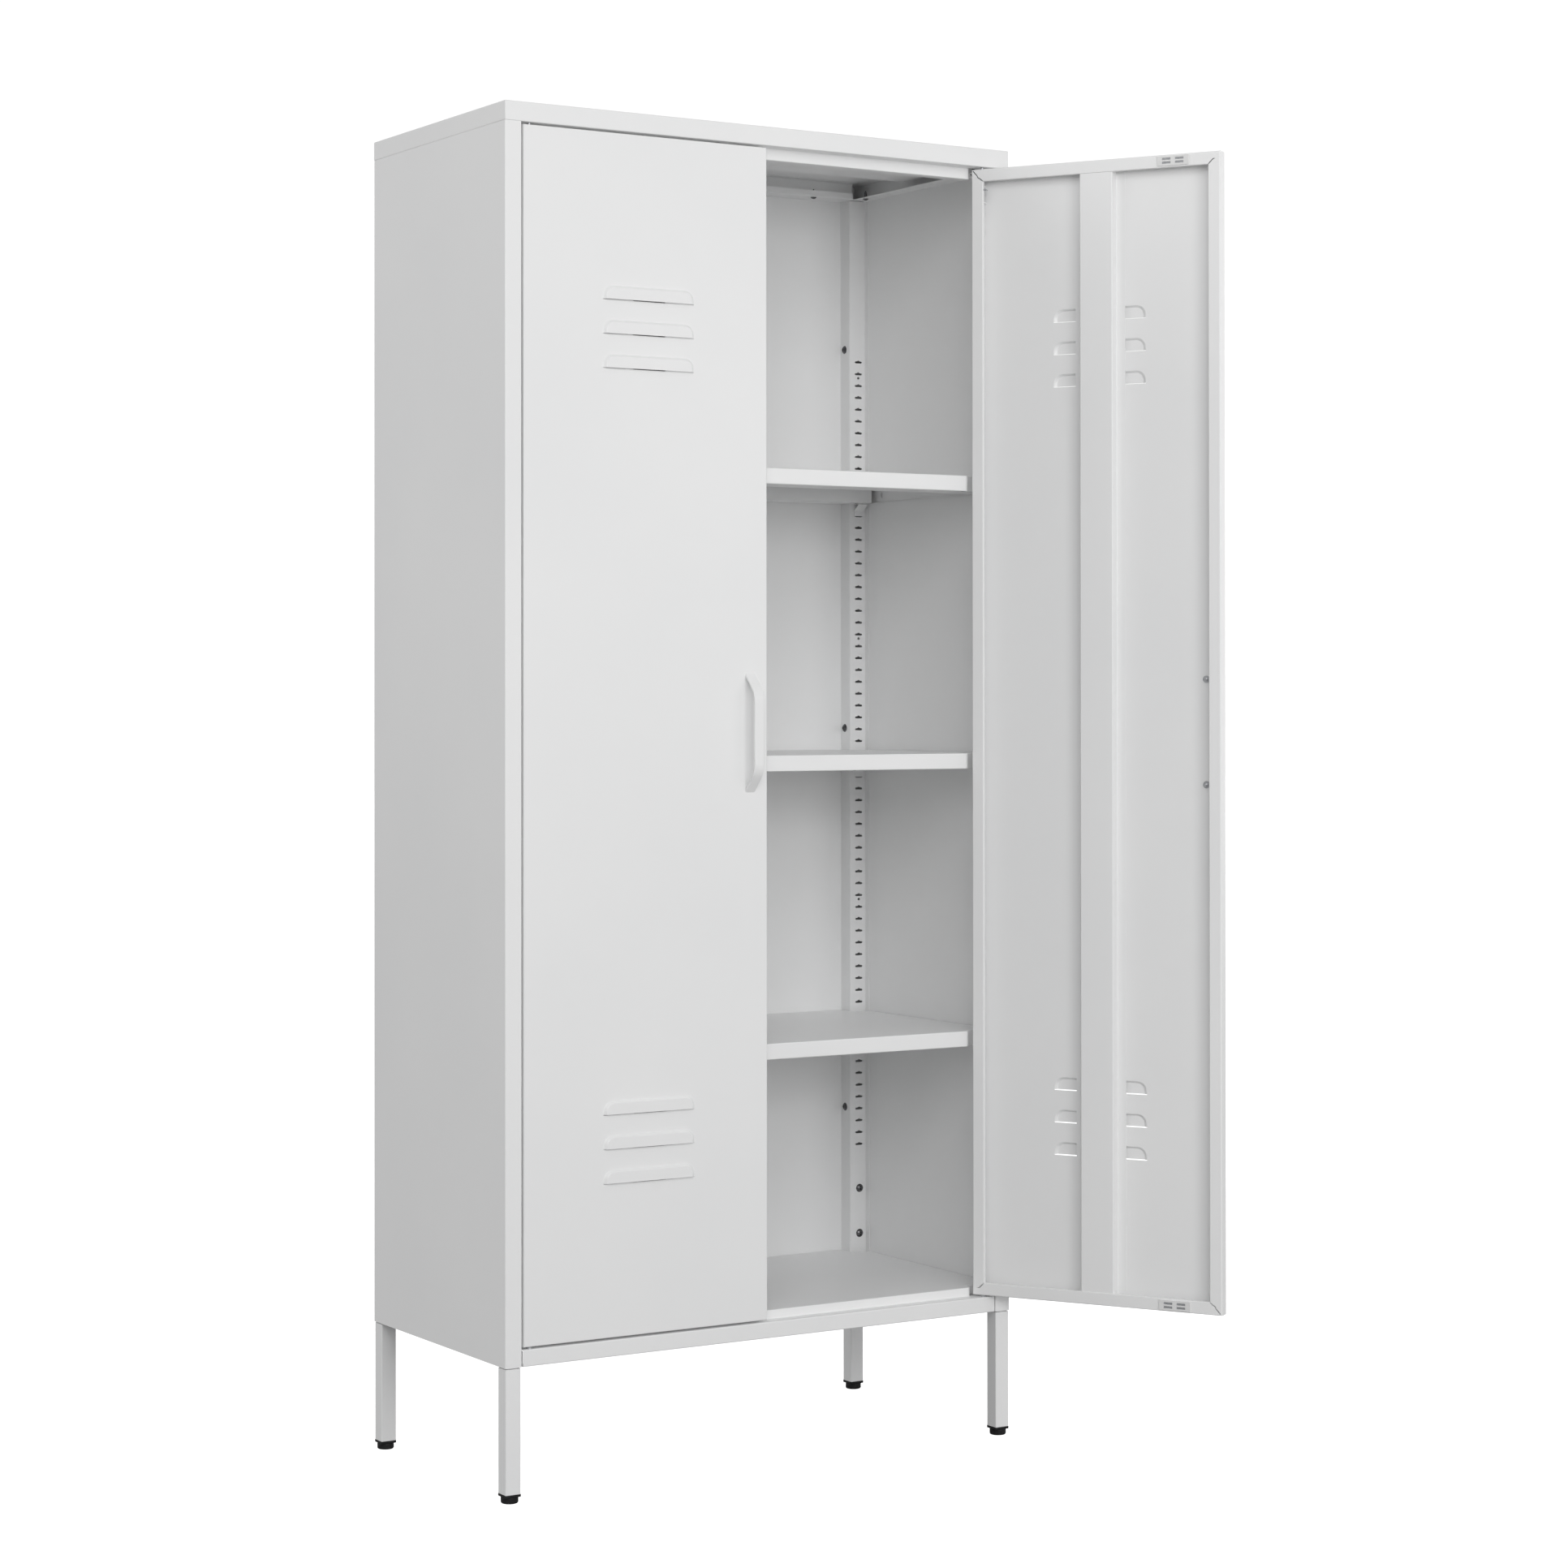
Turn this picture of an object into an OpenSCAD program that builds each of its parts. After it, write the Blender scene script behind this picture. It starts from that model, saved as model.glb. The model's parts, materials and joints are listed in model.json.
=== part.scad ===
// Two-door steel locker cabinet on four square legs, with adjustable shelves.
// Millimetres. X runs to the right, Y to the back, Z up. The origin is on the floor,
// under the centre of the carcass. The left door is shut and the right door stands open.

/* [Cabinet] */
// Overall width
cabinet_w = 800; // [760:10:900]
// Overall depth
cabinet_d = 400; // [390:5:450]
// Height from the floor to the top of the lid
cabinet_h = 1820; // [1820:5:1860]
// Clear height under the carcass
leg_clear = 176; // [150:1:176]
// Thickness of the carcass sheet steel
sheet = 0.6; // [0.5:0.1:0.8]
// Outer radius of the carcass bends
bend_r = 1.5; // [1:0.1:2]

/* [Lid and floor] */
// Height of the lid's rim
lid_rim = 26; // [26:1:34]
// Depth of the rebates that the shut doors sit in
rebate = 20; // [20:0.5:22]
// Height of the front rail below the doors
rail_h = 22; // [20:1:24]
// Height of the door stops above and below
stop_h = 12; // [10:1:14]

/* [Posts] */
// Width of the front frame either side of the doors
stile_w = 24; // [24:0.5:26]
// Depth of a front post
front_post_d = 28; // [27:0.5:30]
// Depth of a rear post
rear_post_d = 30; // [28:0.5:32]
// Distance between two shelf slots
slot_pitch = 17.87; // [17:0.01:19]
// Number of shelf slots in a post
slot_count = 67; // [60:1:67]
// Height of the lowest shelf slot
first_slot = 370.7; // [360:0.1:372]

/* [Shelves] */
// Slot that carries the lower shelf, counted from 0
lower_slot = 10; // [4:1:14]
// Slot that carries the middle shelf
middle_slot = 32; // [20:1:38]
// Slot that carries the upper shelf
upper_slot = 54; // [44:1:60]
// Height of a shelf's edges
shelf_h = 22; // [18:1:26]

/* [Doors] */
// Thickness of a door
door_t = 18; // [16:0.5:18]
// Gap around the doors
door_gap = 3; // [2.8:0.1:3.5]
// Thickness of the door sheet
door_sheet = 0.6; // [0.5:0.1:0.8]
// Outer radius of the door bends
door_r = 2; // [1.5:0.1:2.5]
// Angle that the right door stands open, which is as far as a door swings
open_angle = 121; // [0:1:121]

/* [Legs] */
// Side of the square leg tube
leg_w = 22; // [20:0.5:22]
// Height of the leg tube's lower end
leg_bottom = 12; // [10:1:14]
// Height of the leg tube's upper end, inside the post
leg_top = 320; // [300:1:340]

/* [Hidden] */
$fn = 48;

white = "whitesmoke";
steel = "silver";
black = "dimgray";
eps = 0.01;

// Carcass
half_w = cabinet_w / 2;
half_d = cabinet_d / 2;
carcass_top = cabinet_h - lid_rim;
flange_top = carcass_top - sheet;
stile_x = half_w - stile_w;
front_post_y = -half_d + front_post_d;
rear_post_y = half_d - rear_post_d;
post_side_x = half_w - 28;
wall_x = half_w - sheet;
tab_w = 10;
back_y = half_d - 5;
back_x = post_side_x - sheet;

// Doors, shut
ledge_z = leg_clear + rail_h;
floor_z = ledge_z + stop_h;
door_bottom = ledge_z + door_gap;
door_top = carcass_top - door_gap;
door_edge = stile_x - 2.8;
door_meet = 2;
door_front = -half_d;
door_back = door_front + door_t;
door_inner = door_front + door_sheet;
lip_w = 17;
stop_y = -half_d + rebate;
corner_x = door_edge - 24;
hinge_x = door_edge - 12.3;
hinge_y = -half_d + 8.4;

// Shelves
notch_front_y = front_post_y + tab_w + 1;
notch_rear_y = rear_post_y - tab_w - 1;
shelf_side_x = wall_x - 1.5;
shelf_back_x = back_x - 1.2;
shelf_front_y = stop_y + 3;
shelf_rear_y = back_y - 1;
box_fold_d = 57;
box_fold_x = half_w - 11;

// Fasteners
screw_r = 3;
lid_screw_r = 2;
head_r = 6.2;
screw_gap = 0.3;
leg_inset = 1;
leg_mid_x = half_w - leg_inset - leg_w / 2;
leg_mid_y = half_d - leg_inset - leg_w / 2;
leg_wall = 1.2;
leg_screw_z = [236.6, 304.4];
leg_nut_r = 5.6;
back_screw_z = [426.5, 998, 1569.5];
back_screw_y = half_d - 15.5;

// Feet
foot_r = 11.5;
foot_h = 8.2;
cap_bottom = leg_bottom - 3.5;
stem_r = 4;
stem_top = 45;

// Pivots
running_gap = 0.05;
pin_r = 2.5;
top_pin_r = 2;
arm_z = [door_top - 47, door_top - 24.5];
arm_t = 1.2;
lever_z = door_top - 33;
lever_h = arm_z[1] - 0.2 - lever_z;

// ---------- Shared shapes ----------

// Solid box between its lowest and highest corner
module block(low, high) { translate(low) cube(high - low); }

module both_sides() { children(); mirror([1, 0, 0]) children(); }

module front_and_rear() { children(); mirror([0, 1, 0]) children(); }

// Flat plate drawn in X and Z that runs from y to y + t
module upright_plate(y, t) {
    translate([0, y + t, 0]) rotate([90, 0, 0]) linear_extrude(t) children();
}

// Section drawn in Y and Z that runs between two X values
module along_x(x0, x1) {
    translate([x0, 0, 0]) rotate([90, 0, 90]) linear_extrude(x1 - x0) children();
}

function unit(v) = v / norm(v);
function left_of(d) = [-d.y, d.x];
function turn(v, a) = [v.x * cos(a) - v.y * sin(a), v.x * sin(a) + v.y * cos(a)];

// Points of one rounded bend, on the path's own side or on the far side of the sheet
function bend(p, q, s, t, r, own) =
    let (d = unit(q - p), e = unit(s - q), n = left_of(d))
    let (way = sign(n * e), angle = acos(min(1, max(-1, d * e))))
    let (path_r = way > 0 ? r : r - t, far_r = way > 0 ? r - t : r)
    let (centre = q - d * path_r * tan(angle / 2) + n * way * path_r)
    let (start = -n * way * (own ? path_r : far_r), steps = 5)
    [for (i = [0:steps]) centre + turn(start, way * angle * i / steps)];

function backwards(v) = [for (i = [len(v) - 1:-1:0]) v[i]];

// Outline of a folded sheet: path is one face, and the sheet lies to the left of it
function folded(path, t, r) =
    let (n = len(path) - 1)
    let (first = left_of(unit(path[1] - path[0])), last = left_of(unit(path[n] - path[n - 1])))
    let (corners = n > 1 ? [for (i = [1:n - 1]) i] : [])
    concat(
        [path[0]],
        [for (i = corners) each bend(path[i - 1], path[i], path[i + 1], t, r, true)],
        [path[n], path[n] + last * t],
        backwards([for (i = corners) each bend(path[i - 1], path[i], path[i + 1], t, r, false)]),
        [path[0] + first * t]
    );

module folded_sheet(path, t = sheet, r = bend_r) { polygon(folded(path, t, r)); }

// Mirrors the right half of an outline to give the whole of it
function whole(half) = concat(half, [for (p = backwards(half)) [-p.x, p.y]]);

// Plan of a tray that is notched around the four posts, drawn in by an inset.
// Its front edge turns back with a round bend, clear of the door's swinging corner.
function tray_plan(front_y, rear_y, side_x, rear_x, inset) =
    let (r = 8, x = corner_x - inset, y = front_y + inset)
    whole(concat(
        [for (i = [0:6]) [x - r + r * sin(i * 15), y + r - r * cos(i * 15)]],
        [[x, notch_front_y + inset], [side_x - inset, notch_front_y + inset],
         [side_x - inset, notch_rear_y - inset], [rear_x - inset, notch_rear_y - inset],
         [rear_x - inset, rear_y - inset]]
    ));

// Shallow tray: a flat top with a rim hanging down all the way round
module tray(front_y, rear_y, side_x, rear_x, top_z, rim_h) {
    difference() {
        translate([0, 0, top_z - rim_h])
            linear_extrude(rim_h) polygon(tray_plan(front_y, rear_y, side_x, rear_x, 0));
        translate([0, 0, top_z - rim_h - 1])
            linear_extrude(rim_h + 1 - sheet)
                polygon(tray_plan(front_y, rear_y, side_x, rear_x, sheet));
    }
}

// Domed screw that points along +Z, with its head below z = 0 and a cross recess in it
module dome_screw(r, head, head_h, length) {
    difference() {
        union() {
            cylinder(r = r, h = length);
            translate([0, 0, -head_h]) rotate_extrude() intersection() {
                translate([0, head * 1.2]) circle(r = head * 1.2);
                translate([0, 0]) square([head, head_h]);
            }
        }
        for (a = [0, 90])
            rotate([0, 0, a]) translate([-head / 2, -head / 9, -head_h - 1])
                cube([head, head / 4.5, head_h / 2 + 1]);
    }
}

// ---------- Carcass ----------

module side_panel() {
    color(white) {
        translate([0, 0, leg_clear]) linear_extrude(carcass_top - leg_clear) folded_sheet([
            [stile_x, front_post_y], [stile_x, -half_d], [half_w, -half_d],
            [half_w, half_d], [post_side_x, half_d]
        ]);
        difference() {
            for (z = [leg_clear, flange_top]) block(
                [post_side_x, front_post_y + tab_w + 2, z],
                [wall_x + eps, rear_post_y - tab_w - 2, z + sheet]
            );
            lid_screw_holes();
        }
    }
}

module slot_shape() {
    slot_w = 12.4;
    slot_h = 3;
    square([slot_w - slot_h, slot_h], center = true);
    for (side = [-1, 1]) translate([side * (slot_w - slot_h) / 2, 0]) circle(d = slot_h);
    translate([0, 0.7]) circle(r = 2.2);
}

// Slotted face of a post from x0 to the wall, with the holes for the leg's screws
module slotted_face(x0, y) {
    slot_x = half_w - 13;
    upright_plate(y, sheet) difference() {
        translate([x0, leg_clear]) square([wall_x - x0, flange_top - leg_clear]);
        for (i = [0:slot_count - 1]) translate([slot_x, first_slot + i * slot_pitch]) slot_shape();
        for (i = [20:22:64]) translate([slot_x, first_slot + (i + 0.66) * slot_pitch]) circle(r = 2);
        for (z = leg_screw_z) translate([leg_mid_x, z]) circle(r = screw_r + screw_gap);
    }
}

module front_post() {
    color(white) {
        slotted_face(stile_x + sheet, front_post_y - sheet);
        block([wall_x - sheet, front_post_y - eps, leg_clear],
              [wall_x, front_post_y + tab_w, flange_top]);
    }
}

module rear_post() {
    color(white) difference() {
        union() {
            slotted_face(post_side_x, rear_post_y);
            block([wall_x - sheet, rear_post_y - tab_w, leg_clear],
                  [wall_x, rear_post_y + eps, flange_top]);
            block([post_side_x, rear_post_y, leg_clear],
                  [post_side_x + sheet, half_d - sheet, flange_top]);
        }
        back_screw_holes();
    }
}

module back_screw_holes() {
    for (z = back_screw_z) translate([post_side_x - 3, back_screw_y, z]) rotate([0, 90, 0])
        cylinder(r = screw_r + screw_gap, h = 6);
}

module back_panel() {
    bottom = leg_clear + 3;
    lip_y = half_d - 42;
    flange_x = post_side_x - 2;
    lip_h = 9;
    color(white) difference() {
        union() {
            translate([0, 0, bottom]) linear_extrude(carcass_top - bottom) folded_sheet([
                [-back_x, rear_post_y + 1], [-back_x, back_y],
                [back_x, back_y], [back_x, rear_post_y + 1]
            ]);
            along_x(-flange_x, flange_x) folded_sheet([
                [lip_y, flange_top + lip_h], [lip_y, flange_top], [back_y + sheet, flange_top]
            ]);
        }
        both_sides() back_screw_holes();
        both_sides() lid_screw_holes();
    }
}

module bottom_panel() {
    rail_x = stile_x - 2;
    color(white) difference() {
        union() {
            tray(stop_y, back_y - 1, wall_x - sheet - 0.2, back_x, floor_z, stop_h + sheet);
            along_x(-rail_x, rail_x) folded_sheet([
                [stop_y + sheet / 2, ledge_z], [-half_d, ledge_z],
                [-half_d, leg_clear], [-half_d + 18, leg_clear]
            ]);
            both_sides() block([corner_x - 10, stop_y, ledge_z - sheet],
                               [rail_x - 1, notch_front_y + sheet, ledge_z]);
        }
        both_sides() translate([hinge_x, hinge_y, ledge_z - 3])
            cylinder(r = screw_r + screw_gap, h = 6);
    }
}

module lid() {
    rim_return = 22;
    rear_return = 40;
    header_x = corner_x;
    header_return_y = stop_y + 12;
    color(white) difference() {
        union() {
            difference() {
                block([-half_w, -half_d, carcass_top], [half_w, half_d, cabinet_h]);
                block([-wall_x, -half_d + sheet, carcass_top + sheet],
                      [wall_x, half_d - sheet, cabinet_h - sheet]);
                block([-half_w + rim_return, stop_y + 1, carcass_top - 1],
                      [half_w - rim_return, half_d - rear_return, carcass_top + 1]);
            }
            translate([0, 0, carcass_top - 16]) linear_extrude(16 + sheet) folded_sheet([
                [-header_x, stop_y + 16], [-header_x, stop_y + 0.5],
                [header_x, stop_y + 0.5], [header_x, stop_y + 16]
            ], r = 6 + sheet);
            block([-header_x + 8, stop_y + 0.8, carcass_top - 16],
                  [header_x - 8, header_return_y, carcass_top - 16 + sheet]);
        }
        both_sides() {
            translate([hinge_x, hinge_y, carcass_top - 3])
                cylinder(r = top_pin_r + running_gap, h = 6);
            lid_screw_holes();
        }
    }
}

// Places of the lid's screws on the right, and the holes for them
lid_screw_places = [
    [half_w - 18.5, -half_d + 60], [half_w - 18.5, half_d - 59], [half_w - 94, half_d - 32]
];

module lid_screw_holes() {
    for (at = lid_screw_places) translate([at.x, at.y, carcass_top - 3])
        cylinder(r = lid_screw_r + screw_gap, h = 6);
}

module lid_cross_stiffener() {
    under = cabinet_h - 2 * sheet;
    bottom = cabinet_h - 13.5;
    front = -30;
    rear = 47;
    color(white) along_x(-half_w + 15, half_w - 15) folded_sheet([
        [front - 12, under], [front, under], [front, bottom],
        [rear, bottom], [rear, under], [rear + 12, under]
    ]);
}

module lid_rear_stiffener() {
    web_y = half_d - 28;
    color(white) along_x(-half_w + 23, half_w - 23) folded_sheet([
        [web_y, carcass_top + sheet + 0.5], [web_y, cabinet_h - sheet],
        [web_y - 14, cabinet_h - sheet]
    ]);
}

// ---------- Shelves ----------

function shelf_bottom(slot) = first_slot + slot * slot_pitch + 0.6;

// One box fold under a shelf's edge: a flat return with its end turned up
module box_fold(edge_y, notch_y, edge_x, bottom, top) {
    depth = notch_y < 0 ? box_fold_d : -box_fold_d;
    inner_y = edge_y + depth;
    low_y = min(notch_y, inner_y);
    high_y = max(notch_y, inner_y);
    block([-box_fold_x, low_y, bottom], [box_fold_x, high_y, bottom + sheet]);
    block([-edge_x + sheet / 2, min(edge_y, notch_y), bottom],
          [edge_x - sheet / 2, max(edge_y, notch_y), bottom + sheet]);
    block([-box_fold_x, inner_y - sheet / 2, bottom], [box_fold_x, inner_y + sheet / 2, top - sheet / 2]);
}

module shelf(slot) {
    bottom = shelf_bottom(slot);
    top = bottom + shelf_h;
    color(white) difference() {
        union() {
            tray(shelf_front_y, shelf_rear_y, shelf_side_x, shelf_back_x, top, shelf_h);
            box_fold(shelf_front_y + sheet / 2, notch_front_y + sheet / 2, corner_x - 8, bottom, top);
            box_fold(shelf_rear_y - sheet / 2, notch_rear_y - sheet / 2, shelf_back_x, bottom, top);
        }
        both_sides() front_and_rear() translate([shelf_side_x - 3, 121, bottom + shelf_h / 2])
            rotate([0, 90, 0]) cylinder(r = 4, h = 5);
    }
}

// Spring-steel clip: a tongue in the post's slot, a plate under the shelf, a strut and a foot
module shelf_clip(post_y, bottom) {
    plate = 17;
    clip_w = 16;
    tongue_w = 11;
    t = 1.2;
    x = half_w - 13;
    color(white) difference() {
        along_x(x - clip_w / 2, x + clip_w / 2) folded_sheet([
            [post_y + 5, bottom], [post_y - plate, bottom],
            [post_y - t, bottom - 10.5], [post_y - t, bottom - 18.5]
        ], t, 1.6);
        for (side = [-1, 1]) translate([x + side * (tongue_w / 2 + 5), post_y + 5, bottom])
            cube([10, 10, 6], center = true);
    }
}

module shelf_clips(slot) {
    both_sides() {
        shelf_clip(rear_post_y, shelf_bottom(slot));
        mirror([0, 1, 0]) shelf_clip(-front_post_y, shelf_bottom(slot));
    }
}

// ---------- Legs and feet, drawn at the rear right ----------

// Puts a leg's piece at one corner of the cabinet
module at_corner(side, end) { mirror([side > 0 ? 0 : 1, 0, 0]) mirror([0, end > 0 ? 0 : 1, 0]) children(); }

module leg() {
    half = leg_w / 2;
    color(white) translate([leg_mid_x, leg_mid_y, 0]) difference() {
        block([-half, -half, leg_bottom], [half, half, leg_top]);
        block([-half + leg_wall, -half + leg_wall, leg_bottom - 1],
              [half - leg_wall, half - leg_wall, leg_top + 1]);
        for (z = leg_screw_z) translate([0, 0, z]) rotate([90, 0, 0])
            cylinder(r = screw_r + screw_gap, h = leg_w);
    }
}

module leg_cap() {
    half = leg_w / 2 + 0.5;
    plug = leg_w / 2 - leg_wall - 0.1;
    color(black) translate([leg_mid_x, leg_mid_y, 0]) difference() {
        union() {
            block([-half, -half, cap_bottom], [half, half, leg_bottom]);
            block([-plug, -plug, leg_bottom - eps], [plug, plug, leg_bottom + 18]);
        }
        translate([0, 0, cap_bottom - 1]) cylinder(r = stem_r + running_gap, h = 30);
    }
}

module foot() {
    color(black) translate([leg_mid_x, leg_mid_y, 0]) {
        cylinder(r = foot_r, h = foot_h);
        translate([0, 0, foot_h - 1]) cylinder(r = stem_r, h = stem_top - foot_h + 1);
    }
}

// ---------- Fasteners of the carcass ----------

module leg_screws() {
    color(black) both_sides() for (z = leg_screw_z) {
        translate([leg_mid_x, rear_post_y, z]) rotate([-90, 0, 0]) dome_screw(screw_r, head_r, 3.4, 12);
        translate([leg_mid_x, front_post_y, z]) rotate([90, 0, 0]) dome_screw(screw_r, head_r, 3.4, 10);
    }
}

// Weld nuts that fill the gap between a leg tube and the post's slotted face
module leg_nut(face_y, tube_y, z) {
    translate([leg_mid_x, face_y, z]) rotate([-90, 0, 0]) difference() {
        cylinder(r = leg_nut_r, h = tube_y - face_y, $fn = 6);
        translate([0, 0, -1]) cylinder(r = screw_r + running_gap, h = tube_y - face_y + 2);
    }
}

module leg_nuts() {
    tube_y = leg_mid_y - leg_w / 2;
    color(steel) both_sides() for (z = leg_screw_z) {
        leg_nut(rear_post_y + sheet, tube_y, z);
        mirror([0, 1, 0]) leg_nut(-front_post_y + sheet, tube_y, z);
    }
}

module back_panel_screws() {
    color(black) both_sides() for (z = back_screw_z)
        translate([back_x, back_screw_y, z]) rotate([0, 90, 0]) dome_screw(screw_r, 6, 3.2, 8);
}

// Pointed self-tapping screws that point up
module lid_screws() {
    color(black) both_sides() for (at = lid_screw_places) translate([at.x, at.y, flange_top]) {
        dome_screw(lid_screw_r, 4.6, 2.6, 9);
        translate([0, 0, 9]) cylinder(r1 = lid_screw_r, r2 = 0.3, h = 3.5);
    }
}

module bottom_pivot_pins() {
    color(steel) both_sides() translate([hinge_x, hinge_y, ledge_z]) {
        translate([0, 0, -sheet - 2]) cylinder(r = 4.5, h = 2);
        translate([0, 0, -sheet - 1]) cylinder(r = screw_r, h = sheet + 2);
        cylinder(r = 4, h = door_gap - 0.1);
        translate([0, 0, door_gap - 1]) cylinder(r = pin_r, h = 13);
    }
}

// ---------- Left door, drawn shut ----------

// The right door is the left door's mirror image, swung open about its own hinge
module right_door_pose() {
    translate([hinge_x, hinge_y, 0]) rotate([0, 0, open_angle]) translate([-hinge_x, -hinge_y, 0])
        mirror([1, 0, 0]) children();
}

louvre_w = 139;
louvre_h = 18;
louvre_mid_x = -door_edge + 187;
louvre_pitch = 45.4;
louvre_z = [404.3, 1480];
louvre_depth = 3.5;
louvre_ramp = 5;
handle_x = -29.2;
handle_mid_z = 996.6;
handle_screw_z = [for (side = [-1, 1]) handle_mid_z + side * 72.4];

module louvre_shape(inset) {
    r = 14 - inset;
    half = louvre_w / 2 - inset;
    top = louvre_h - inset;
    intersection() {
        union() {
            for (side = [-1, 1]) translate([side * (half - r), top - r]) circle(r = r);
            translate([-half + r, 0]) square([2 * (half - r), top]);
            translate([-half, -1]) square([2 * half, top - r + 1]);
        }
        translate([-half, 0]) square([2 * half, top]);
    }
}

// Places something at the lower edge of each louvre
module at_louvres() {
    for (z = louvre_z, i = [0:2]) translate([louvre_mid_x, 0, z + i * louvre_pitch]) children();
}

// Hood pressed out of the door, flush at the top and open along its lower edge
module louvre_hood() {
    intersection() {
        upright_plate(door_front - louvre_depth, louvre_depth + door_sheet) louvre_shape(0);
        along_x(-louvre_w, louvre_w) polygon([
            [door_inner, louvre_h], [door_front, louvre_h],
            [door_front - louvre_depth, louvre_h - louvre_ramp],
            [door_front - louvre_depth, 0], [door_inner, 0]
        ]);
    }
}

module louvre_hollow() {
    intersection() {
        upright_plate(door_front - louvre_depth, louvre_depth + 2) louvre_shape(door_sheet);
        along_x(-louvre_w, louvre_w) polygon([
            [door_inner + 1, louvre_h - 1], [door_inner, louvre_h - 1],
            [door_front - louvre_depth + door_sheet, louvre_h - 1 - louvre_ramp],
            [door_front - louvre_depth + door_sheet, -1], [door_inner + 1, -1]
        ]);
    }
}

module door_skin() {
    lip_end = door_edge - lip_w;
    free_lip_end = door_meet + lip_w;
    color(white) difference() {
        union() {
            difference() {
                union() {
                    translate([0, 0, door_bottom]) linear_extrude(door_top - door_bottom) folded_sheet([
                        [-lip_end, door_back], [-door_edge, door_back], [-door_edge, door_front],
                        [-door_meet, door_front], [-door_meet, door_back], [-free_lip_end, door_back]
                    ], door_sheet, door_r);
                    for (z = [door_bottom, door_top - door_sheet]) door_end_wall(z);
                    for (z = [door_bottom, door_top - lip_w])
                        block([-lip_end - eps, door_back - door_sheet, z],
                              [-free_lip_end + eps, door_back, z + lip_w]);
                }
                at_louvres() upright_plate(door_front - 1, door_sheet + 2) louvre_shape(eps);
            }
            at_louvres() louvre_hood();
        }
        at_louvres() louvre_hollow();
        for (z = handle_screw_z) translate([handle_x, door_front - 1, z]) rotate([-90, 0, 0])
            cylinder(r = 1.5 + screw_gap, h = 3);
        translate([-hinge_x, hinge_y, door_bottom - 1]) cylinder(r = bush_r + running_gap, h = 3);
        translate([-hinge_x, hinge_y, door_top - 2]) cylinder(r = top_pin_r + running_gap, h = 3);
        for (z = catch_z) translate([catch_x, 0, z])
            block([-catch_body_w / 2, door_back - 1.5, -catch_body_h / 2],
                  [catch_body_w / 2, door_back + 1, catch_body_h / 2]);
    }
}

// Wall that closes the top or bottom of the door, drawn in at the rounded corners
module door_end_wall(z) {
    inset = door_r * 0.3;
    block([-door_edge + inset, door_front + inset, z], [-door_meet - inset, door_back - inset, z + door_sheet]);
}

// Hat-section stiffener that is spot-welded to the inside of the door
module door_stiffener() {
    flat_start = -door_edge + 164;
    flat_end = flat_start + 48.6;
    base_y = door_inner + door_sheet;
    flat_y = door_back - 1.2;
    color(white) translate([0, 0, door_bottom + door_sheet + 0.3])
        linear_extrude(door_top - door_bottom - 2 * door_sheet - 0.6) folded_sheet([
            [flat_end + 13, base_y], [flat_end, base_y], [flat_end, flat_y],
            [flat_start, flat_y], [flat_start, base_y], [flat_start - 12.5, base_y]
        ], door_sheet);
}

// Cast bow handle: a flat strip with slanted legs and a thicker foot for each screw
module handle() {
    half_w = 7.5;
    half_l = 80.5;
    reach = 25;
    leg_rise = 27;
    color(white) difference() {
        translate([0, door_front, handle_mid_z]) {
            along_x(handle_x - half_w, handle_x + half_w) folded_sheet([
                [4, half_l + 4 * leg_rise / reach], [-reach, half_l - leg_rise],
                [-reach, -half_l + leg_rise], [4, -half_l - 4 * leg_rise / reach]
            ], 4, 20);
            for (side = [0, 1]) mirror([0, 0, side]) along_x(handle_x - half_w, handle_x + half_w)
                polygon([
                    [0, half_l - 1], [-8, half_l - 10], [-8, half_l - 13.5],
                    [-1.5, half_l - 13.5], [0, half_l - 12.5]
                ]);
        }
        block([handle_x - 10, door_front, handle_mid_z - 100],
              [handle_x + 10, door_front + 10, handle_mid_z + 100]);
        for (z = handle_screw_z) translate([handle_x, door_front - 5, z]) rotate([-90, 0, 0])
            cylinder(r = 1.5 + running_gap, h = 6);
    }
}

module handle_screws() {
    color(steel) for (z = handle_screw_z) translate([handle_x, door_inner + 1, z])
        rotate([90, 0, 0]) dome_screw(1.5, 3.2, 2.2, 6);
}

module handle_washers() {
    color(steel) for (z = handle_screw_z) translate([handle_x, door_inner, z]) rotate([-90, 0, 0])
        difference() {
            cylinder(r = 5, h = 1);
            translate([0, 0, -1]) cylinder(r = 1.5 + screw_gap, h = 3);
        }
}

catch_x = -door_edge + 303;
catch_z = [door_bottom + 8.7, door_top - 8.7];
catch_w = 45;
catch_h = 13.4;
catch_body_w = 38;
catch_body_h = 10;
catch_face = door_back + 1.8;

// Windows in a catch's face, where its pole strips show
module catch_windows(depth, grow) {
    for (x = [-9.4, 9.4], z = [-2.6, 2.6]) translate([x, 0, z])
        block([-6.2 - grow, catch_face - depth, -1.5 - grow], [6.2 + grow, catch_face + grow, 1.5 + grow]);
}

module catch_housings() {
    color(white) for (z = catch_z) translate([catch_x, 0, z]) difference() {
        union() {
            block([-catch_w / 2, door_back, -catch_h / 2], [catch_w / 2, catch_face, catch_h / 2]);
            block([-catch_body_w / 2 + 0.2, door_back - 8, -catch_body_h / 2 + 0.2],
                  [catch_body_w / 2 - 0.2, door_back + eps, catch_body_h / 2 - 0.2]);
        }
        catch_windows(7, 0.05);
    }
}

module catch_poles() {
    color(steel) for (z = catch_z) translate([catch_x, 0, z]) intersection() {
        catch_windows(6.5, 0);
        block([-30, door_back - 10, -10], [30, catch_face - 0.6, 10]);
    }
}

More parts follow.
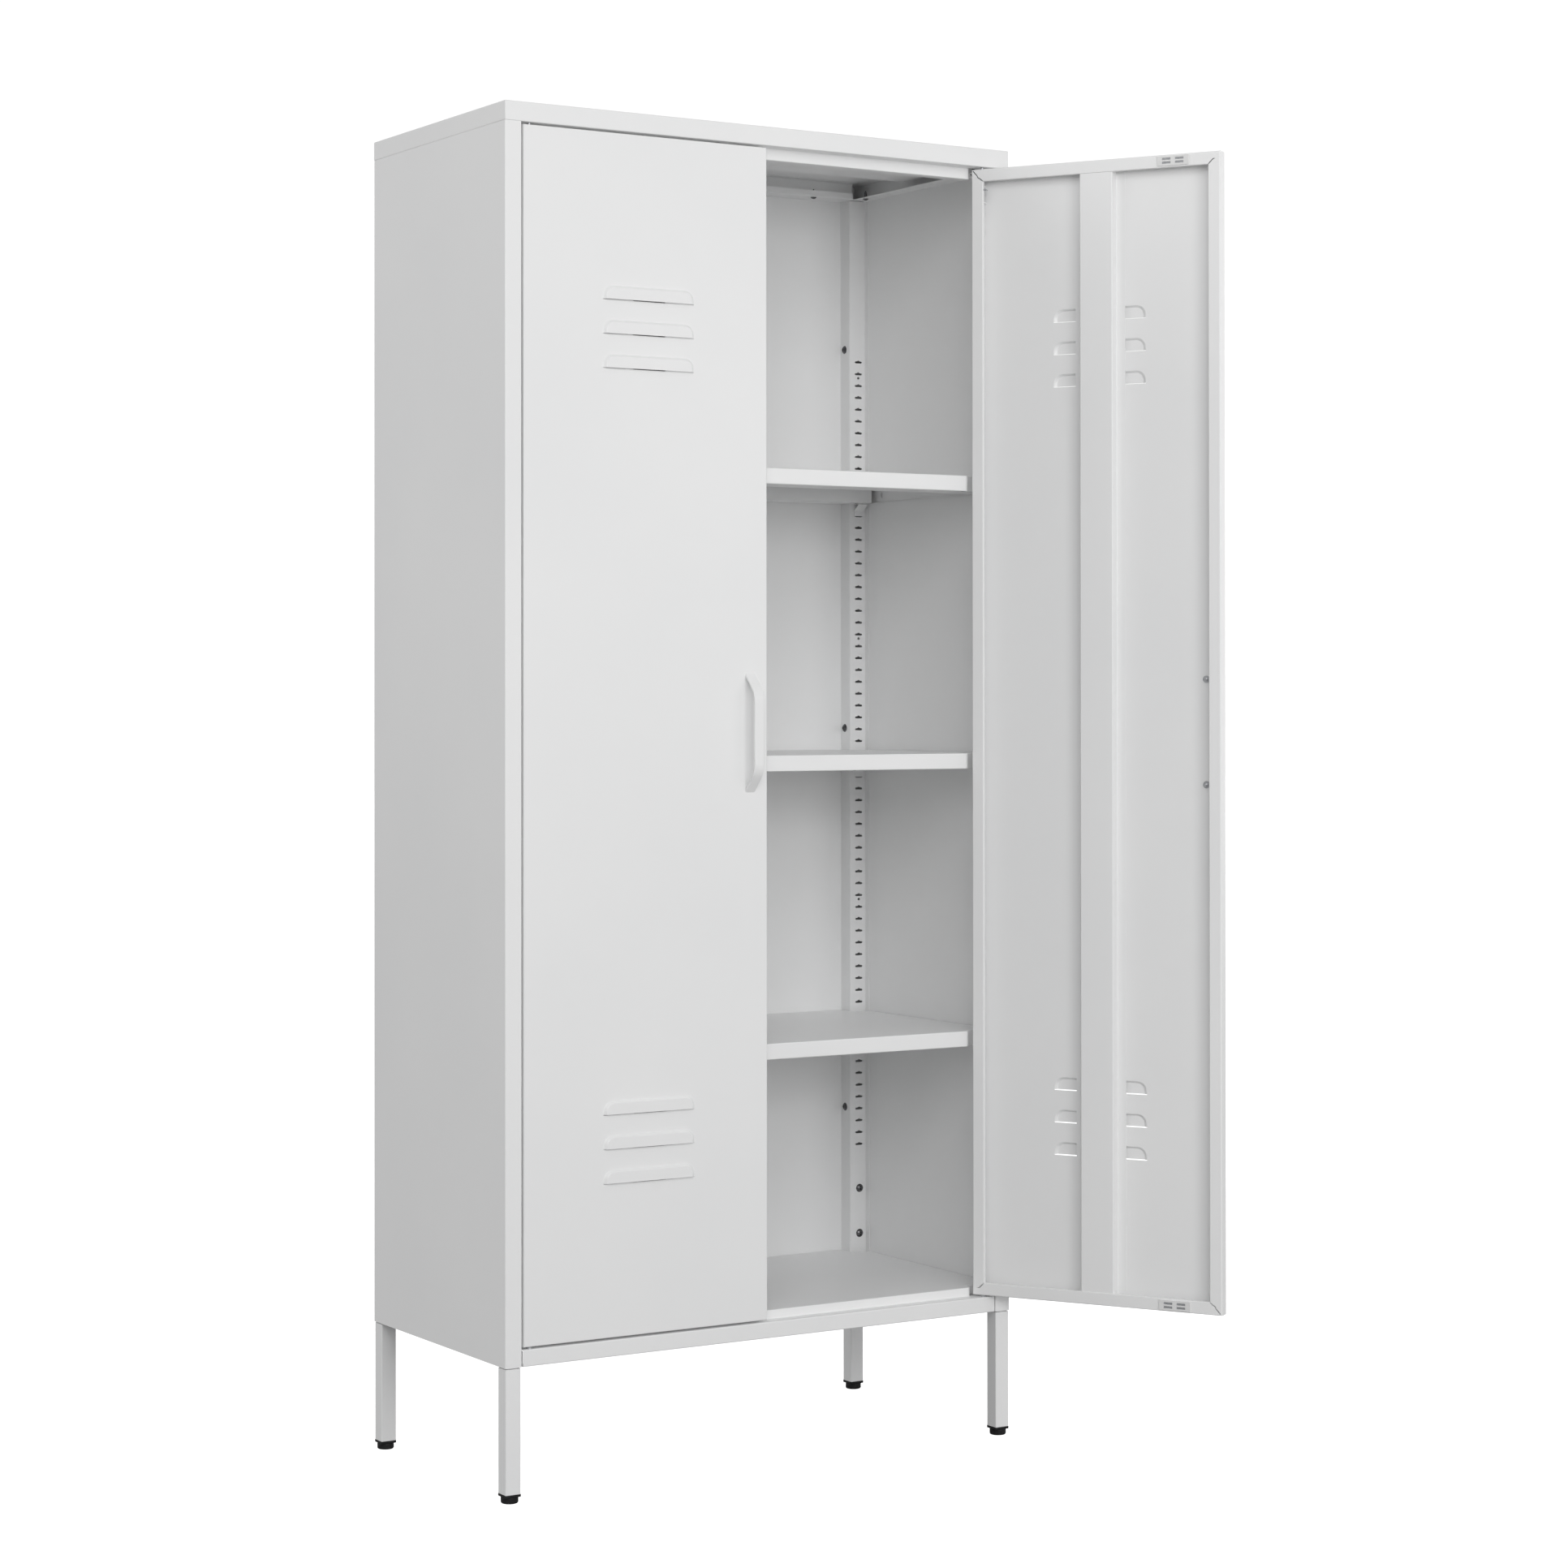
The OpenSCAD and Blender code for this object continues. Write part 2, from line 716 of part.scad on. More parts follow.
module pin_bracket() {
    wall = -door_edge + door_sheet;
    depth = [door_inner + 1.6, door_back - 2.2];
    reach = wall + 15.5;
    color(white) difference() {
        union() {
            block([wall, depth[0], arm_z[0]], [wall + arm_t, depth[1], arm_z[1] + arm_t]);
            for (z = arm_z) block([wall, depth[0], z], [reach, depth[1], z + arm_t]);
        }
        translate([-hinge_x, hinge_y, arm_z[0] - 1])
            cylinder(r = top_pin_r + running_gap, h = arm_z[1] - arm_z[0] + 4);
    }
}

// Sprung top pin with its hub and the lever that draws it down
module top_pin() {
    hub_r = 3.8;
    lever_end = -door_edge + 21.5;
    color(steel) {
        translate([-hinge_x, hinge_y, arm_z[0] - 7])
            cylinder(r = top_pin_r, h = carcass_top + 5 - arm_z[0] + 7);
        translate([-hinge_x, hinge_y, lever_z]) cylinder(r = hub_r, h = lever_h);
        block([-hinge_x + 1, hinge_y + 1, lever_z + 3], [lever_end, door_back - 1.4, lever_z + 4.2]);
    }
}

// Points of one ring of the spring's wire, square to its helix
function spring_ring(r, wire, a, z, sides) =
    [for (k = [0:sides - 1]) let (b = 360 * k / sides)
        [(r + wire * cos(b)) * cos(a), (r + wire * cos(b)) * sin(a), z + wire * sin(b)]];

// Compression spring between the bracket's lower arm and the pin's hub
module pin_spring() {
    coils = 5;
    steps = 12;
    sides = 6;
    wire = 0.4;
    r = 2.9;
    low = arm_z[0] + arm_t + wire + 0.05;
    rise = lever_z - wire - 0.05 - low;
    rings = coils * steps;
    points = [for (i = [0:rings]) each
        spring_ring(r, wire, 360 * i / steps, low + rise * i / rings, sides)];
    walls = [for (i = [0:rings - 1], k = [0:sides - 1]) let (m = (k + 1) % sides)
        [i * sides + k, (i + 1) * sides + k, (i + 1) * sides + m, i * sides + m]];
    ends = [[for (k = [0:sides - 1]) k], [for (k = [sides - 1:-1:0]) rings * sides + k]];
    color(steel) translate([-hinge_x, hinge_y, 0]) polyhedron(points, concat(walls, ends));
}

bush_r = 4;
module bottom_bush() {
    color(black) translate([-hinge_x, hinge_y, door_bottom]) difference() {
        union() {
            cylinder(r = bush_r, h = 8);
            translate([0, 0, door_sheet]) cylinder(r = 6, h = 1.2);
        }
        translate([0, 0, -1]) cylinder(r = pin_r + running_gap, h = 12);
    }
}

// ---------- Nodes ----------

lid();
lid_cross_stiffener();
lid_rear_stiffener();
mirror([1, 0, 0]) side_panel();  // left_side_panel
side_panel();  // right_side_panel
mirror([1, 0, 0]) front_post();  // left_front_post
front_post();  // right_front_post
mirror([1, 0, 0]) rear_post();  // left_rear_post
rear_post();  // right_rear_post
back_panel();
bottom_panel();
shelf(lower_slot);  // lower_shelf
shelf(middle_slot);  // middle_shelf
shelf(upper_slot);  // upper_shelf
shelf_clips(lower_slot);  // lower_shelf_clips
shelf_clips(middle_slot);  // middle_shelf_clips
shelf_clips(upper_slot);  // upper_shelf_clips
at_corner(-1, -1) leg();  // front_left_leg
at_corner(1, -1) leg();  // front_right_leg
at_corner(-1, 1) leg();  // rear_left_leg
at_corner(1, 1) leg();  // rear_right_leg
at_corner(-1, -1) leg_cap();  // front_left_leg_cap
at_corner(1, -1) leg_cap();  // front_right_leg_cap
at_corner(-1, 1) leg_cap();  // rear_left_leg_cap
at_corner(1, 1) leg_cap();  // rear_right_leg_cap
at_corner(-1, -1) foot();  // front_left_foot
at_corner(1, -1) foot();  // front_right_foot
at_corner(-1, 1) foot();  // rear_left_foot
at_corner(1, 1) foot();  // rear_right_foot
leg_screws();
leg_nuts();
back_panel_screws();
lid_screws();
bottom_pivot_pins();
door_skin();  // left_door_skin
door_stiffener();  // left_door_stiffener
handle();  // left_handle
handle_screws();  // left_handle_screws
handle_washers();  // left_handle_washers
catch_housings();  // left_catch_housings
catch_poles();  // left_catch_poles
pin_bracket();  // left_pin_bracket
top_pin();  // left_top_pin
pin_spring();  // left_pin_spring
bottom_bush();  // left_bottom_bush
right_door_pose() door_skin();  // right_door_skin
right_door_pose() door_stiffener();  // right_door_stiffener
right_door_pose() handle();  // right_handle
right_door_pose() handle_screws();  // right_handle_screws
right_door_pose() handle_washers();  // right_handle_washers
right_door_pose() catch_housings();  // right_catch_housings
right_door_pose() catch_poles();  // right_catch_poles
right_door_pose() pin_bracket();  // right_pin_bracket
right_door_pose() top_pin();  // right_top_pin
right_door_pose() pin_spring();  // right_pin_spring
right_door_pose() bottom_bush();  // right_bottom_bush
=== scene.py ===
import json
import math
import bmesh
import bpy
from mathutils import Matrix, Vector


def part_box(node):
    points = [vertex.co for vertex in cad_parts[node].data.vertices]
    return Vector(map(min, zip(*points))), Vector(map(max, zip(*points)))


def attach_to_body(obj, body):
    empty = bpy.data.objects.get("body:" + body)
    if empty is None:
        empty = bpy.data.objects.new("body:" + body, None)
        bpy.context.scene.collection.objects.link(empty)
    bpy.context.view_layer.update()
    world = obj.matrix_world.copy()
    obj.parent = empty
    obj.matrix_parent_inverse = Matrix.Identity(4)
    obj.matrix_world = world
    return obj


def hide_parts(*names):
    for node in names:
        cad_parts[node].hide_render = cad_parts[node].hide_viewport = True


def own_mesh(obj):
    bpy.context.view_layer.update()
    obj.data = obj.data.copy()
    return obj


# Two-door steel locker cabinet: a folded-sheet carcass on four square legs, the left door
# shut and the right door open. Shapes are drawn in millimetres in the frame's own axes and
# become metres in new_object(). Door pieces are drawn once, for the left door, shut. Each
# right one is its mirror image, swung open about its own hinge.

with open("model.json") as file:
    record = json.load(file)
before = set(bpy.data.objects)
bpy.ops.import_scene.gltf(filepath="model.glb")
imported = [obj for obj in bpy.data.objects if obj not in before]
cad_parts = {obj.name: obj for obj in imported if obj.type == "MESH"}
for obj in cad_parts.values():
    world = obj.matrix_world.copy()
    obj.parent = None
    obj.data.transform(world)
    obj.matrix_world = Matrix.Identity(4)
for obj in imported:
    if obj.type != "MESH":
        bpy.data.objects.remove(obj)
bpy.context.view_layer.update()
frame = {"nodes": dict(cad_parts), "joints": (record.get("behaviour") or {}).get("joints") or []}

MM = 0.001
SHEET = 0.6


def mm_box(node):
    """Lowest and highest corner of a CAD node, in millimetres."""
    low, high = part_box(node)
    return low / MM, high / MM


# ---------- Camera ----------

CAMERA_PLACE = (-2.4089, -4.1196, 1.0464)
CAMERA_YAW = math.radians(31.746)
CAMERA_PITCH = math.radians(0.373)
CAMERA_ROLL = math.radians(-0.043)
SENSOR = 36
LENS = 77.85
SHIFT = (0.0034, -0.0702)
FAR_CLIP = 60


def make_camera():
    data = bpy.data.cameras.new("camera")
    data.sensor_width = SENSOR
    data.lens = LENS
    data.shift_x, data.shift_y = SHIFT
    data.clip_end = FAR_CLIP
    camera = bpy.data.objects.new("camera", data)
    bpy.context.scene.collection.objects.link(camera)
    look = (Matrix.Rotation(-CAMERA_YAW, 4, "Z")
            @ Matrix.Rotation(math.pi / 2 + CAMERA_PITCH, 4, "X")
            @ Matrix.Rotation(CAMERA_ROLL, 4, "Z"))
    camera.matrix_world = Matrix.Translation(CAMERA_PLACE) @ look
    bpy.context.scene.camera = camera


make_camera()


# ---------- Materials ----------

# the usual range of a noise texture's value
NOISE_LOW = 0.3
NOISE_HIGH = 0.7


def new_material(name):
    material = bpy.data.materials.new(name)
    material.use_nodes = True
    tree = material.node_tree
    shader = tree.nodes["Principled BSDF"]
    coords = tree.nodes.new("ShaderNodeTexCoord")
    return material, tree, shader, coords.outputs["Object"]


def noise(tree, coords, scale, detail=2.0, roughness=0.5):
    node = tree.nodes.new("ShaderNodeTexNoise")
    node.inputs["Scale"].default_value = scale
    node.inputs["Detail"].default_value = detail
    node.inputs["Roughness"].default_value = roughness
    tree.links.new(coords, node.inputs["Vector"])
    return node.outputs["Fac"]


def spread(tree, value, socket, low, high):
    """Drives a socket with a noise value, mapped from its usual range to low..high."""
    node = tree.nodes.new("ShaderNodeMapRange")
    node.inputs["From Min"].default_value = NOISE_LOW
    node.inputs["From Max"].default_value = NOISE_HIGH
    node.inputs["To Min"].default_value = low
    node.inputs["To Max"].default_value = high
    tree.links.new(value, node.inputs["Value"])
    tree.links.new(node.outputs["Result"], socket)


def tint(tree, value, socket, dark, light):
    """Drives a colour socket between two colours."""
    node = tree.nodes.new("ShaderNodeValToRGB")
    node.color_ramp.elements[0].position = NOISE_LOW
    node.color_ramp.elements[1].position = NOISE_HIGH
    node.color_ramp.elements[0].color = (*dark, 1)
    node.color_ramp.elements[1].color = (*light, 1)
    tree.links.new(value, node.inputs["Fac"])
    tree.links.new(node.outputs["Color"], socket)


def bump(tree, shader, layers):
    """Adds up bumps: layers holds (height value, strength, depth in metres)."""
    below = None
    for value, strength, depth in layers:
        node = tree.nodes.new("ShaderNodeBump")
        node.inputs["Strength"].default_value = strength
        node.inputs["Distance"].default_value = depth
        tree.links.new(value, node.inputs["Height"])
        if below:
            tree.links.new(below, node.inputs["Normal"])
        below = node.outputs["Normal"]
    tree.links.new(below, shader.inputs["Normal"])


def powder_coat():
    """White polyester powder coat: fine orange peel over a faint, slow unevenness."""
    material, tree, shader, coords = new_material("powder_coat")
    tint(tree, noise(tree, coords, 3.5, 3), shader.inputs["Base Color"],
         (0.880, 0.883, 0.885), (0.905, 0.906, 0.905))
    spread(tree, noise(tree, coords, 60, 4, 0.6), shader.inputs["Roughness"], 0.30, 0.35)
    bump(tree, shader, [
        (noise(tree, coords, 900, 2), 0.15, 0.00003),
        (noise(tree, coords, 240, 2), 0.12, 0.00005),
    ])
    shader.inputs["Specular IOR Level"].default_value = 0.45
    return material


def black_plastic():
    """Moulded black nylon with a fine matt grain."""
    material, tree, shader, coords = new_material("black_plastic")
    tint(tree, noise(tree, coords, 120, 3), shader.inputs["Base Color"],
         (0.010, 0.010, 0.011), (0.020, 0.020, 0.021))
    spread(tree, noise(tree, coords, 400, 3), shader.inputs["Roughness"], 0.32, 0.48)
    bump(tree, shader, [(noise(tree, coords, 1800, 2), 0.3, 0.00005)])
    shader.inputs["Specular IOR Level"].default_value = 0.25
    return material


def white_plastic():
    """Moulded white acetal, a little more matt than the paint."""
    material, tree, shader, coords = new_material("white_plastic")
    tint(tree, noise(tree, coords, 40, 3), shader.inputs["Base Color"],
         (0.76, 0.76, 0.755), (0.81, 0.81, 0.805))
    spread(tree, noise(tree, coords, 500, 2), shader.inputs["Roughness"], 0.42, 0.55)
    bump(tree, shader, [(noise(tree, coords, 2200, 2), 0.2, 0.00004)])
    shader.inputs["Subsurface Weight"].default_value = 0.05
    shader.inputs["Subsurface Radius"].default_value = (0.002, 0.002, 0.002)
    return material


def metal(name, dark, light, smooth, rough):
    """Plated steel with faint mottling and fine scuffs."""
    material, tree, shader, coords = new_material(name)
    tint(tree, noise(tree, coords, 300, 4, 0.6), shader.inputs["Base Color"], dark, light)
    spread(tree, noise(tree, coords, 700, 4, 0.7), shader.inputs["Roughness"], smooth, rough)
    bump(tree, shader, [(noise(tree, coords, 2500, 3), 0.3, 0.00003)])
    shader.inputs["Metallic"].default_value = 1.0
    return material


MATERIALS = {
    "powder_coat": powder_coat(),
    "black_plastic": black_plastic(),
    "white_plastic": white_plastic(),
    "zinc_steel": metal("zinc_steel", (0.50, 0.51, 0.53), (0.68, 0.69, 0.71), 0.25, 0.45),
    "black_screws": metal("black_screws", (0.08, 0.08, 0.085), (0.20, 0.20, 0.205), 0.16, 0.32),
}


# ---------- Mesh tools ----------

ARC_STEPS = 5
CORNER_STEPS = 4
WELD = 0.002
SHARP_ANGLE = math.radians(32)


class Shape:
    """A surface made of faces whose corners are given in millimetres."""

    def __init__(self):
        self.bm = bmesh.new()

    def face(self, points):
        self.bm.faces.new([self.bm.verts.new(p) for p in points])

    def strip(self, first, second, closed=False):
        """Quads between two rows of the same number of points."""
        count = len(first) if closed else len(first) - 1
        for i in range(count):
            j = (i + 1) % len(first)
            self.face([first[i], first[j], second[j], second[i]])

    def skin(self, rows, closed=False):
        """Strips between each row of points and the next."""
        for first, second in zip(rows, rows[1:]):
            self.strip(first, second, closed)

    def block(self, low, high):
        """A box with its corners at low and high."""
        x0, y0, z0 = low
        x1, y1, z1 = high
        base = [(x0, y0), (x1, y0), (x1, y1), (x0, y1)]
        under, over = [(x, y, z0) for x, y in base], [(x, y, z1) for x, y in base]
        self.tube([under, over])

    def tube(self, rows):
        """Closed rows skinned into a solid, with a face at each end."""
        self.skin(rows, closed=True)
        self.face(rows[0])
        self.face(rows[-1])


def arc(centre, radius, start, end, steps=ARC_STEPS):
    """Points of an arc in a plane, with its angles in degrees."""
    angles = [math.radians(start + (end - start) * i / steps) for i in range(steps + 1)]
    return [(centre[0] + radius * math.cos(a), centre[1] + radius * math.sin(a)) for a in angles]


def circle(centre, radius, steps):
    """Closed outline of a circle."""
    return arc(centre, radius, 0, 360, steps)[:-1]


def offset(outline, inset):
    """A closed outline, drawn in by inset. It runs anticlockwise seen from its front."""
    points = [Vector(p) for p in outline]
    moved = []
    for before, here, after in zip(points[-1:] + points[:-1], points, points[1:] + points[:1]):
        first, second = (here - before).normalized(), (after - here).normalized()
        m, n = Vector((-first.y, first.x)), Vector((-second.y, second.x))
        moved.append(here + (m + n) * (inset / (1 + m.dot(n))))
    return moved


def at_z(outline, z):
    """A flat outline, as points at one height."""
    return [(p[0], p[1], z) for p in outline]


def whole(half):
    """The right half of an outline and its mirror image, as one closed outline."""
    return half + [(-x, y) for x, y in reversed(half)]


def rounded_rect(x, y, half_x, half_y, r):
    """Closed outline of a rectangle round (x, y), with round corners."""
    outline = []
    for i, (sx, sy) in enumerate([(1, 1), (-1, 1), (-1, -1), (1, -1)]):
        centre = (x + sx * (half_x - r), y + sy * (half_y - r))
        outline += arc(centre, r, 90 * i, 90 * i + 90, CORNER_STEPS)
    return outline


def fillet(p, q, s, r, steps=ARC_STEPS):
    """Points of the arc that rounds the corner q of a path from p to s."""
    p, q, s = Vector(p), Vector(q), Vector(s)
    d, e = (q - p).normalized(), (s - q).normalized()
    side = 1 if d.x * e.y - d.y * e.x > 0 else -1
    angle = math.acos(max(-1, min(1, d.dot(e))))
    normal = Vector((-d.y, d.x)) * side
    centre = q - d * r * math.tan(angle / 2) + normal * r
    start = math.degrees(math.atan2(-normal.y, -normal.x))
    return arc(centre, r, start, start + side * math.degrees(angle), steps)


def add_modifier(piece, kind, **settings):
    modifier = piece.modifiers.new(kind.lower(), kind)
    for key, value in settings.items():
        setattr(modifier, key, value)
    return modifier


def settle(piece):
    """Applies a piece's modifiers, then shades it smooth between its sharp edges."""
    depsgraph = bpy.context.evaluated_depsgraph_get()
    mesh = bpy.data.meshes.new_from_object(piece.evaluated_get(depsgraph))
    piece.modifiers.clear()
    piece.data = mesh
    mesh.name = piece.name
    mesh.shade_smooth()
    mesh.set_sharp_from_angle(angle=SHARP_ANGLE)
    add_modifier(piece, "WEIGHTED_NORMAL", keep_sharp=True)


def new_piece(name, shape, body, finish, replaces=(), facing=None, thickness=0, holes=None):
    """Makes a shape into a piece. A thickness turns an open surface into sheet metal, to the
    back of the surface. facing is the way that its largest face looks. Holes are cut last."""
    piece = new_object(name, shape, facing)
    piece.data.materials.append(MATERIALS[finish])
    if thickness:
        add_modifier(piece, "SOLIDIFY", thickness=thickness * MM, offset=-1, use_even_offset=True)
    cutter = None
    if holes:
        cutter = new_object(name + "_cutter", holes)
        add_modifier(piece, "BOOLEAN", operation="DIFFERENCE", object=cutter, solver="EXACT")
    settle(piece)
    if cutter:
        bpy.data.objects.remove(cutter)
    attach(piece, body, replaces)
    return piece


def new_object(name, shape, facing=None):
    """Welds a shape's faces together, turns them outwards and makes them an object, in metres."""
    bm = shape.bm
    bmesh.ops.remove_doubles(bm, verts=bm.verts, dist=WELD)
    bmesh.ops.recalc_face_normals(bm, faces=bm.faces)
    if facing:
        largest = max(bm.faces, key=lambda f: f.calc_area())
        if largest.normal.dot(Vector(facing)) < 0:
            bmesh.ops.reverse_faces(bm, faces=bm.faces)
    bmesh.ops.scale(bm, vec=(MM, MM, MM), verts=bm.verts)
    mesh = bpy.data.meshes.new(name)
    bm.to_mesh(mesh)
    bm.free()
    piece = bpy.data.objects.new(name, mesh)
    bpy.context.scene.collection.objects.link(piece)
    return piece


def attach(piece, body, replaces):
    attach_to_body(piece, body)
    if replaces:
        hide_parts(*replaces)


# ---------- Places that the pieces share ----------

STILE_W = 24.0
POST_W = 24.0
STOP_DEPTH = 20.0
RAIL_H = 22.0

lid_low, lid_high = mm_box("lid")
door_low, door_high = mm_box("left_door_skin")
side_low, side_high = mm_box("right_side_panel")
front_post_high = mm_box("right_front_post")[1]
rear_post_low = mm_box("right_rear_post")[0]
back_high = mm_box("back_panel")[1]
rail_low = mm_box("bottom_panel")[0].z

half_w = lid_high.x
front_y = lid_low.y
carcass_top = side_high.z
stile_x = half_w - STILE_W        # inner edges of the stiles
corner_x = -door_low.x - POST_W   # inner edges of the front posts
stop_y = front_y + STOP_DEPTH     # the door stops, behind the doors
ledge_z = rail_low + RAIL_H       # top of the floor rail, below the doors

joints = {joint["name"]: joint for joint in frame["joints"]}
hinge = Vector(joints["right_door_hinge"]["pos_m"])
open_angle = -math.radians(joints["right_door_hinge"]["range_deg"][0])
# takes a shape from the left door, shut, to the right door, open
to_right_door = (Matrix.Translation(hinge) @ Matrix.Rotation(open_angle, 4, "Z")
                 @ Matrix.Translation(-hinge) @ Matrix.Scale(-1, 4, (1, 0, 0)))


def copy_to_right(piece, body, replaces):
    """Makes the right door's twin of a left door's piece."""
    twin = piece.copy()
    twin.name = piece.name.replace("left", "right")
    twin.data = piece.data.copy()
    twin.data.name = twin.name
    twin.parent = None
    twin.matrix_world = Matrix.Identity(4)
    twin.data.transform(to_right_door)
    twin.data.flip_normals()
    for key in list(twin.keys()):
        if key.startswith("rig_"):
            del twin[key]
    bpy.context.scene.collection.objects.link(twin)
    attach(twin, body, replaces)
    return twin


def door_piece(name, shape, node, finish, **settings):
    """A piece of the left door and its twin on the right door."""
    piece = new_piece("left_" + name, shape, "left_door", finish, ["left_" + node], **settings)
    return piece, copy_to_right(piece, "right_door", ["right_" + node])


# ---------- Doors ----------

DOOR_R = 2.0
LIP = 17.0
RETURN = 5.5
RETURN_R = 1.0
FACE_MARGIN = 8.0
INWARD = (1, -1)  # the way into the door from its low side and from its high side

LOUVRE_W = 139.0
LOUVRE_H = 18.0
LOUVRE_R = 14.0
LOUVRE_DEPTH = front_y - door_low.y
LOUVRE_SIDE_RAMP = 5.5
LOUVRE_TOP_RAMP = 3.5
LOUVRE_STEPS = 6
LOUVRE_SLIT = 1.0
LOUVRE_MARGIN = 5.0
LOUVRE_PITCH = 45.4
LOUVRE_MID = door_low.x + 187
LOWEST_FEET = (404.3, 1480.0)
LOUVRE_FEET = [z + i * LOUVRE_PITCH for z in LOWEST_FEET for i in range(3)]


def louvre_path(part):
    """Outline of a louvre from its lower left to its lower right corner, at a part of the way
    from the door (0) to the hood's flat face (1)."""
    half = LOUVRE_W / 2 - LOUVRE_SIDE_RAMP * part
    r = LOUVRE_R - LOUVRE_TOP_RAMP * part
    top = LOUVRE_H - LOUVRE_TOP_RAMP * part
    return ([(-half, 0)] + arc((-half + r, top - r), r, 180, 90) + [(0, top)]
            + arc((half - r, top - r), r, 90, 0) + [(half, 0)])


def add_louvre(shape, foot_z):
    """A hood pressed out of the door, open along its lower edge, and the door just round it."""
    def place(points, depth):
        return [(LOUVRE_MID + x, front_y - depth, foot_z + z) for x, z in points]

    rows = []
    for i in range(LOUVRE_STEPS + 1):
        part = i / LOUVRE_STEPS
        rise = part * part * (3 - 2 * part)
        rows.append(place(louvre_path(part), LOUVRE_DEPTH * rise))
    shape.skin(rows)
    shape.face(rows[-1])
    # the door's cut edge lies a little below the hood's, which leaves a slit
    slit = LOUVRE_W / 2 - LOUVRE_SLIT
    outline = [(0, -LOUVRE_SLIT), (-slit, -LOUVRE_SLIT)] + louvre_path(0) + [(slit, -LOUVRE_SLIT)]
    middle = len(outline) // 2
    left, right = -LOUVRE_W / 2 - LOUVRE_MARGIN, LOUVRE_W / 2 + LOUVRE_MARGIN
    low, high = -LOUVRE_MARGIN, LOUVRE_H + LOUVRE_MARGIN
    shape.face(place(outline[:middle + 1] + [(0, high), (left, high), (left, low), (0, low)], 0))
    shape.face(place(outline[:1] + outline[:middle - 1:-1]
                     + [(0, high), (right, high), (right, low), (0, low)], 0))


def door_face(shape, xs, zs):
    """The flat front with its louvres. Returns its outline, as four rows of points."""
    columns = [xs[0] + FACE_MARGIN, LOUVRE_MID - LOUVRE_W / 2 - LOUVRE_MARGIN, LOUVRE_MID,
               LOUVRE_MID + LOUVRE_W / 2 + LOUVRE_MARGIN, xs[1] - FACE_MARGIN]
    rows = [zs[0] + FACE_MARGIN]
    for foot_z in LOUVRE_FEET:
        rows += [foot_z - LOUVRE_MARGIN, foot_z + LOUVRE_H + LOUVRE_MARGIN]
        add_louvre(shape, foot_z)
    rows.append(zs[1] - FACE_MARGIN)
    for j, (low, high) in enumerate(zip(rows, rows[1:])):
        for i, (left, right) in enumerate(zip(columns, columns[1:])):
            louvre_here = j % 2 == 1 and i in (1, 2)
            if not louvre_here:
                shape.face([(x, front_y, z) for x, z in
                            [(left, low), (right, low), (right, high), (left, high)]])
    return [
        [(x, front_y, rows[0]) for x in columns],
        [(columns[-1], front_y, z) for z in rows],
        [(x, front_y, rows[-1]) for x in reversed(columns)],
        [(columns[0], front_y, z) for z in reversed(rows)],
    ]


def door_skin():
    """One sheet: the face, its rounded edges all round, and the lips turned in behind."""
    shape = Shape()
    xs, zs, rear = (door_low.x, door_high.x), (door_low.z, door_high.z), door_high.y

    def loop(inset, y):
        return [(x, y, z) for x, z in [(xs[0] + inset, zs[0] + inset), (xs[1] - inset, zs[0] + inset),
                                       (xs[1] - inset, zs[1] - inset), (xs[0] + inset, zs[1] - inset)]]

    edge = loop(DOOR_R, front_y)
    for i, side in enumerate(door_face(shape, xs, zs)):
        shape.face([edge[i], edge[(i + 1) % 4]] + side[::-1])
    profile = (arc((DOOR_R, front_y + DOOR_R), DOOR_R, -90, -180)
               + arc((DOOR_R, rear - DOOR_R), DOOR_R, 180, 90))
    shape.skin([loop(inset, y) for inset, y in profile], closed=True)
    add_lips(shape, xs, zs, rear)
    door_piece("door_sheet", shape, "door_skin", "powder_coat", facing=(0, -1, 0), thickness=SHEET)


# Lines where two lips meet, from the door's corner to the lips' inner corner: the distance
# from the door's side, the distance from its top or bottom, and whether the lips part there.
# At two opposite corners the lips part all the way. At the others they are welded as far as
# the end of a short line.
OPEN_MITRE = [(2.7, 2.7, 1), (9.0, 9.6, 1), (9.3, 11.2, 1), (10.0, 12.2, 1), (11.2, 12.8, 1),
              (13.0, 13.7, 1), (LIP, LIP, 1)]
WELDED_MITRE = [(6.4, 10.2, 0), (9.6, 10.4, 1), (10.8, 10.9, 1), (LIP, LIP, 1)]
MITRE_GAP = 0.55


def add_return(shape, start, end, inward):
    """Narrow strip that turns a lip's inner edge towards the door's face."""
    path = arc((0, -RETURN_R), RETURN_R, 90, 0, 3) + [(RETURN_R, -RETURN)]
    rows = [[Vector(p) + inward * across + Vector((0, back, 0)) for p in (start, end)]
            for across, back in path]
    shape.skin(rows)


